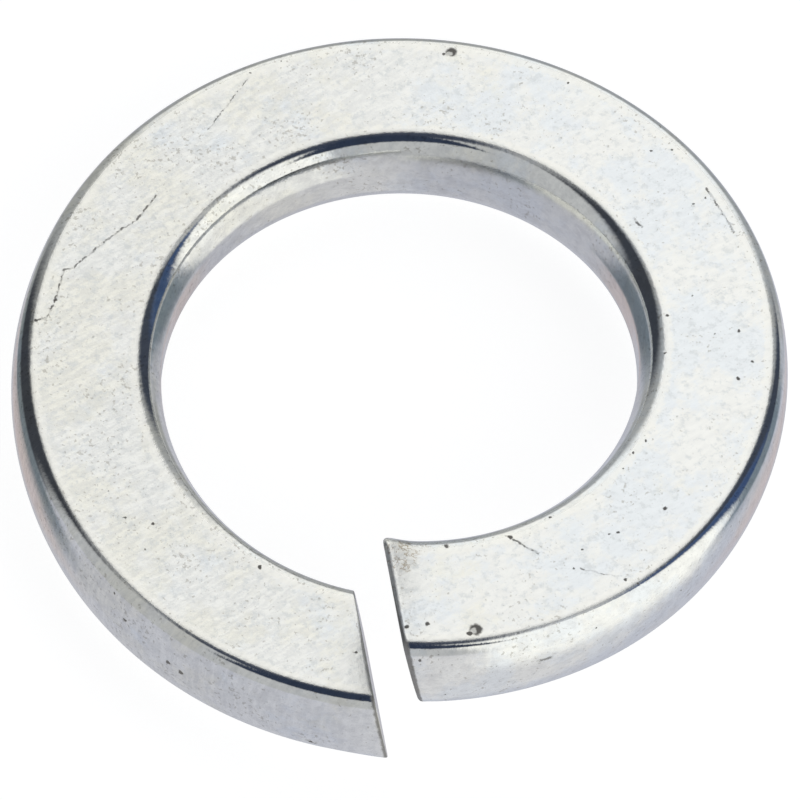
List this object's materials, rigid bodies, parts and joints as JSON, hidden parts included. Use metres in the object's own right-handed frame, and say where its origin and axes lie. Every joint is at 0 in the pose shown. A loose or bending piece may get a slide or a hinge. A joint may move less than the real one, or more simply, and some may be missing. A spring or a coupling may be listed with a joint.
{
  "type": "spring lock washer",
  "caption": "Split spring lock washer: a flat-faced bar with crowned sides, coiled so that its slanted cut ends stand apart in height.",
  "frame": {"origin": "on the bore's axis, level with the lowest point of the low end", "axes": "+Z along the bore's axis towards the nut, -Y towards the split, +X to the right of the split, where the high end is"},
  "size_m": [0.0268, 0.0268, 0.0076],
  "materials": {
    "zinc_plate": "bright zinc plate, slightly stained"
  },
  "bodies": {
    "root": {"lock_washer": "zinc_plate"}
  },
  "joints": []
}
